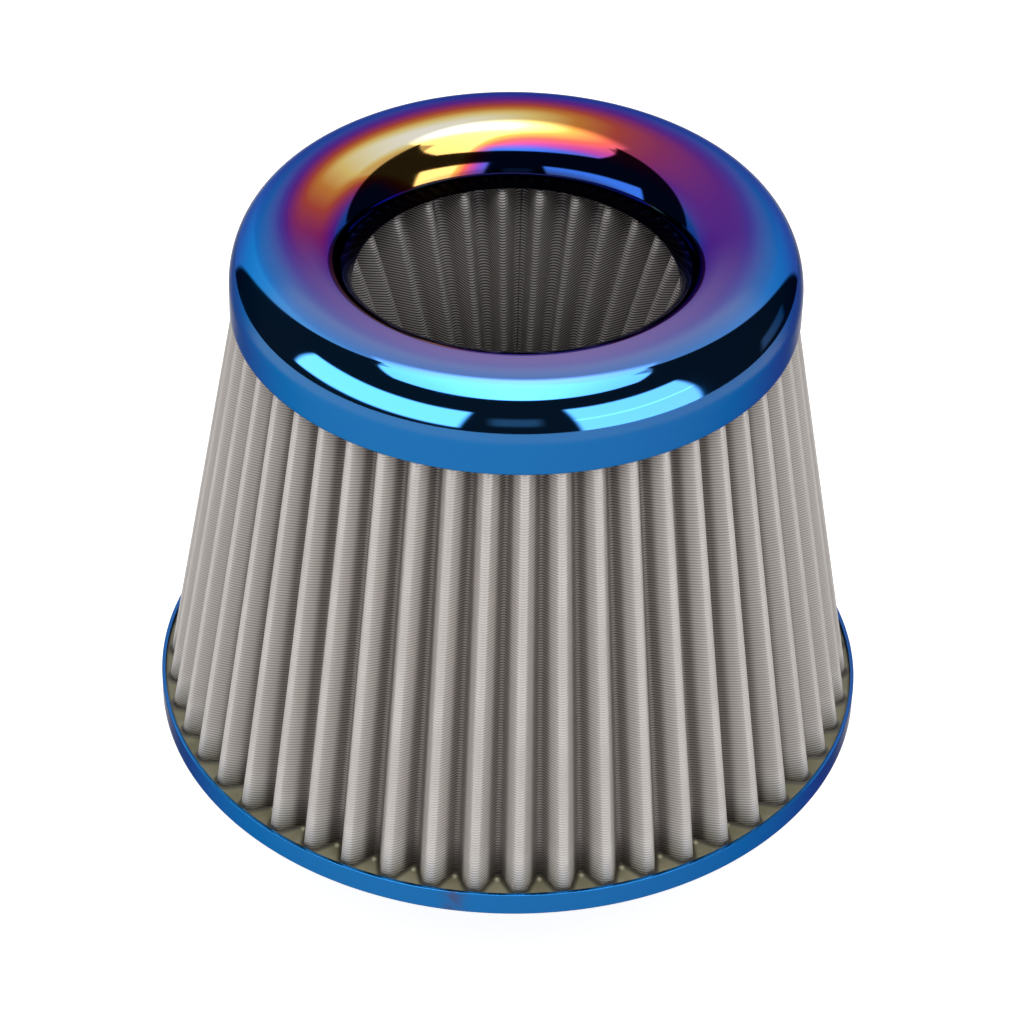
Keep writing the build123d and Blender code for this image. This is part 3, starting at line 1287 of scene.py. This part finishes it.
@dataclass
class Studio:
    """Floor, world, lamp and camera. Angles are in degrees."""

    dark_level: float = 0.025
    dark_side: float = 143.0
    dark_side_soft: float = 2.0
    dark_lean: float = 0.55
    dark_lean_below: float = 20.0
    dark_top: float = 48.0
    dark_top_soft: float = 1.0
    dark_lift: float = 0.42
    dark_lift_from: float = 60.0
    overhead_left: float = -84.0
    overhead_right: float = 77.0
    overhead_soft: float = 2.0
    overhead_least_up: float = 0.01
    overhead_round: Span = (61.0, 63.0)
    overhead_back: Span = (0.04, 0.26)
    overhead_edge: float = 1.9
    overhead_middle: float = 1.6
    overhead_middle_width: float = 0.4
    softboxes: tuple[Softbox, ...] = (
        Softbox(-88.0, -20.0, -5.0, 21.0, 3.3, slant=0.15),
        Softbox(23.0, 70.0, -40.0, 27.0, 3.2, slant=-0.15),
        Softbox(23.0, 70.0, 7.0, 9.0, 1.5, 0.8, slant=-0.15),
        Softbox(-9.0, 9.0, 3.0, 14.0, 0.2, 3.0),
        Softbox(104.0, 121.0, -12.0, -2.0, 0.2, 2.0),
    )
    soft_share: float = 0.5
    soft_fill: float = 0.08
    soft_side: float = 0.5
    soft_side_span: Span = (0.55, 0.95)
    floor_gap: float = 0.0001
    floor_sides: int = 120
    floor_below: float = 14.0
    floor_lean: float = 6.0
    floor_colour: Colour = (216, 216, 216)
    floor_roughness: float = 0.9
    floor_glow: float = 0.85
    mirror_level: float = 0.142
    lamp_place: tuple[float, float, float] = (0.0, -0.25, 0.9)
    lamp_tilt: float = -14.0
    lamp_size: float = 0.7
    lamp_power: float = 1.0
    camera_place: tuple[float, float, float] = (-10.7, -666.6, 598.7)
    camera_elevation: float = 38.174
    camera_yaw: float = 0.933
    camera_roll: float = 1.243
    focal_pixels: float = 3889.0
    frame_pixels: float = 1024.0
    sensor_width: float = 36.0
    clip_start: float = 0.01

    def camera(self) -> None:
        """Places the camera at the photo's viewpoint."""
        data = bpy.data.cameras.new("view_camera")
        data.sensor_width = self.sensor_width
        data.lens = self.focal_pixels / self.frame_pixels * self.sensor_width
        data.clip_start = self.clip_start
        holder = bpy.data.objects.new("view_camera", data)
        bpy.context.scene.collection.objects.link(holder)
        angles = (self.camera_elevation, self.camera_yaw, self.camera_roll)
        tilt, yaw, roll = (math.radians(value) for value in angles)
        ahead = Vector((math.sin(yaw) * math.cos(tilt), math.cos(yaw) * math.cos(tilt), -math.sin(tilt)))
        right = ahead.cross(Vector((0, 0, 1))).normalized()
        up = right.cross(ahead)
        side = right * math.cos(roll) + up * math.sin(roll)
        top = up * math.cos(roll) - right * math.sin(roll)
        turn = Matrix((side, top, -ahead)).transposed().to_4x4()
        holder.matrix_world = Matrix.Translation(Vector(self.camera_place) * MM) @ turn
        bpy.context.scene.camera = holder

    def floor(self) -> None:
        """Lays the pale floor, which looks white from the camera and keeps a soft shadow.

        It reaches further to the front than to the back, so the cap mirrors its edge 8 degrees
        below its own level in front and 20 degrees below it behind.
        """
        mesh = bpy.data.meshes.new("floor")
        rim = []
        for step in range(self.floor_sides):
            turn = 2 * math.pi * step / self.floor_sides
            below = math.radians(self.floor_below - self.floor_lean * math.cos(turn))
            far = self.mirror_level / math.tan(below)
            rim.append((far * math.sin(turn), -far * math.cos(turn), -self.floor_gap))
        mesh.from_pydata(rim, [], [list(range(self.floor_sides))])
        floor = bpy.data.objects.new("floor", mesh)
        bpy.context.scene.collection.objects.link(floor)
        sheet = MaterialSheet("Pale floor")
        seen = sheet.node("ShaderNodeLightPath").outputs["Is Camera Ray"]
        sheet.dress(
            Base_Color=linear(*self.floor_colour),
            Roughness=self.floor_roughness,
            Emission_Color=(1, 1, 1, 1),
            Emission_Strength=sheet.product(seen, self.floor_glow),
        )
        mesh.materials.append(sheet.material)

    def dark_strip(self, sky: WorldSheet) -> Socket:
        """The dark surroundings that the steel mirrors.

        Args:
            sky: The world's nodes.

        Returns:
            1 in them, and 0 behind the part and high above it.
        """
        away = sky.math("ABSOLUTE", sky.azimuth)
        raised = sky.math("MAXIMUM", sky.math("ADD", sky.elevation, self.dark_lean_below), 0.0)
        leaning = sky.math("ADD", away, sky.product(raised, self.dark_lean))
        low, high = self.dark_side - self.dark_side_soft, self.dark_side + self.dark_side_soft
        sideways = sky.ramp(leaning, low, high, 1.0, 0.0)
        past = sky.math("MAXIMUM", sky.math("SUBTRACT", away, self.dark_lift_from), 0.0)
        lifted = sky.math("SUBTRACT", sky.elevation, sky.product(past, self.dark_lift))
        low, high = self.dark_top - self.dark_top_soft, self.dark_top + self.dark_top_soft
        return sky.product(sideways, sky.ramp(lifted, low, high, 1.0, 0.0))

    def overhead(self, sky: WorldSheet, dark: Socket) -> Socket:
        """The panel overhead, which ends where the dark surroundings begin.

        Args:
            sky: The world's nodes.
            dark: Share of the dark surroundings.

        Returns:
            The panel's brightness.
        """
        height = sky.math("MAXIMUM", sky.up, self.overhead_least_up)
        past = sky.math("DIVIDE", sky.back, height)
        beside = sky.math("ABSOLUTE", sky.math("DIVIDE", sky.side, height))
        wide = sky.band(sky.azimuth, self.overhead_left, self.overhead_right, self.overhead_soft)
        wide = sky.math("MAXIMUM", wide, sky.ramp(sky.elevation, *self.overhead_round))
        over = sky.product(wide, sky.ramp(past, *self.overhead_back, 1.0, 0.0))
        middle = sky.product(sky.bell(beside, self.overhead_middle_width), self.overhead_middle)
        bright = sky.math("ADD", middle, self.overhead_edge)
        return sky.product(over, sky.math("SUBTRACT", 1.0, dark), bright)

    def panel(self, sky: WorldSheet, box: Softbox) -> Socket:
        """One softbox.

        Args:
            sky: The world's nodes.
            box: The softbox.

        Returns:
            Its brightness.
        """
        turned = sky.math("SUBTRACT", sky.azimuth, sky.product(sky.elevation, box.slant))
        across = sky.band(turned, box.left, box.right, box.soft)
        return sky.product(across, sky.band(sky.elevation, box.low, box.high, box.soft), box.level)

    def world(self) -> None:
        """Sets the world: white for the camera, the studio's pattern for mirrors, soft light else."""
        sky = WorldSheet("studio")
        dark = self.dark_strip(sky)
        level = sky.math("ADD", sky.ramp(dark, 0.0, 1.0, 1.0, self.dark_level), self.overhead(sky, dark))
        for box in self.softboxes:
            level = sky.math("ADD", level, self.panel(sky, box))
        filled = sky.math("ADD", sky.product(level, self.soft_share), self.soft_fill)
        sideways = sky.ramp(sky.math("ABSOLUTE", sky.side), *self.soft_side_span, 0.0, self.soft_side)
        rays = sky.node("ShaderNodeLightPath").outputs
        soft = sky.light(sky.math("ADD", filled, sideways))
        mirrored = sky.choose(rays["Is Glossy Ray"], soft, sky.light(level))
        seen = sky.math("MAXIMUM", rays["Is Camera Ray"], rays["Is Transmission Ray"])
        shader = sky.choose(seen, mirrored, sky.light(1.0))
        sky.put(shader, sky.node("ShaderNodeOutputWorld").inputs["Surface"])

    def lamp(self) -> None:
        """Hangs one large soft lamp above, which the polished steel doesn't mirror."""
        data = bpy.data.lights.new("overhead_lamp", "AREA")
        data.shape = "DISK"
        data.size = self.lamp_size
        data.energy = self.lamp_power
        lamp = bpy.data.objects.new("overhead_lamp", data)
        lamp.location = self.lamp_place
        lamp.rotation_euler = (math.radians(self.lamp_tilt), 0, 0)
        lamp.visible_glossy = False
        bpy.context.scene.collection.objects.link(lamp)

    def build(self) -> None:
        """Builds the whole studio."""
        self.camera()
        self.floor()
        self.world()
        self.lamp()
        bpy.context.scene.view_settings.view_transform = "Standard"
        log.info("studio built")


def outer_pleats() -> FoldedStrip:
    """The cone of pleats between pan and cap."""
    return FoldedStrip(
        name="outer_mesh",
        node="outer_pleats",
        folds=50,
        first_angle=1.6,
        tip=75.5,
        depth=5.9,
        tip_bend=1.35,
        root_bend=1.25,
        seam=Seam.ROOT,
        narrow_scale=0.763685,
        wide_at_top=False,
    )


def inner_pleats() -> FoldedStrip:
    """The funnel of pleats in the throat."""
    return FoldedStrip(
        name="funnel_mesh",
        node="inner_pleats",
        folds=26,
        first_angle=114.3,
        crowd_angle=6.0,
        crowd_line_angle=297.0,
        tip=42.5,
        depth=7.2,
        tip_bend=2.2,
        root_bend=0.85,
        seam=Seam.TIP,
        narrow_scale=0.455921,
        wide_at_top=True,
    )


def funnel_finish() -> MeshFinish:
    """The funnel's finer mesh, with its gaps painted black as shade and painted shade that darkens it
    down the funnel.
    """
    return MeshFinish(
        row_pitch=0.59,
        wire_pitch=0.5,
        row_dip=0.0,
        colour=(238, 232, 227),
        gap_colour=(22, 21, 20),
        flank_shading_colour=(240, 233, 228),
        flank_shading_gap_colour=(3, 3, 3),
        valley_shade_colour=(226, 219, 214),
        valley_shade_gap_colour=(3, 3, 3),
        flank_shading_span=(0.002, 0.014),
        valley_shade_span=(0.3, 0.9),
        low_shade_span=(84.0, 122.0),
        gap_power=0.28,
    )


def main() -> None:
    """Builds the filter piece by piece and then its studio."""
    logging.basicConfig(level=logging.INFO, format="%(name)s: %(message)s")
    effects = Effects(HeatTint().build(), WireWeave().build(), Handling().build())
    tinted = TintedSteel().material("Heat tinted steel", effects)
    potting = PottingFinish().material("Cast polyurethane", effects)
    TopCap().build(tinted)
    BasePan().build(tinted)
    Neck().build(RubberFinish().material("Moulded rubber", effects))
    pleats = outer_pleats()
    pleats.build(MeshFinish().material("Outer mesh", effects))
    inner_pleats().build(funnel_finish().material("Funnel mesh", effects))
    BasePotting(pleats).build(potting)
    Inside().dress(PlainSteelFinish().material("Rolled steel", effects), potting)
    Studio().build()


if __name__ == "__main__":
    main()
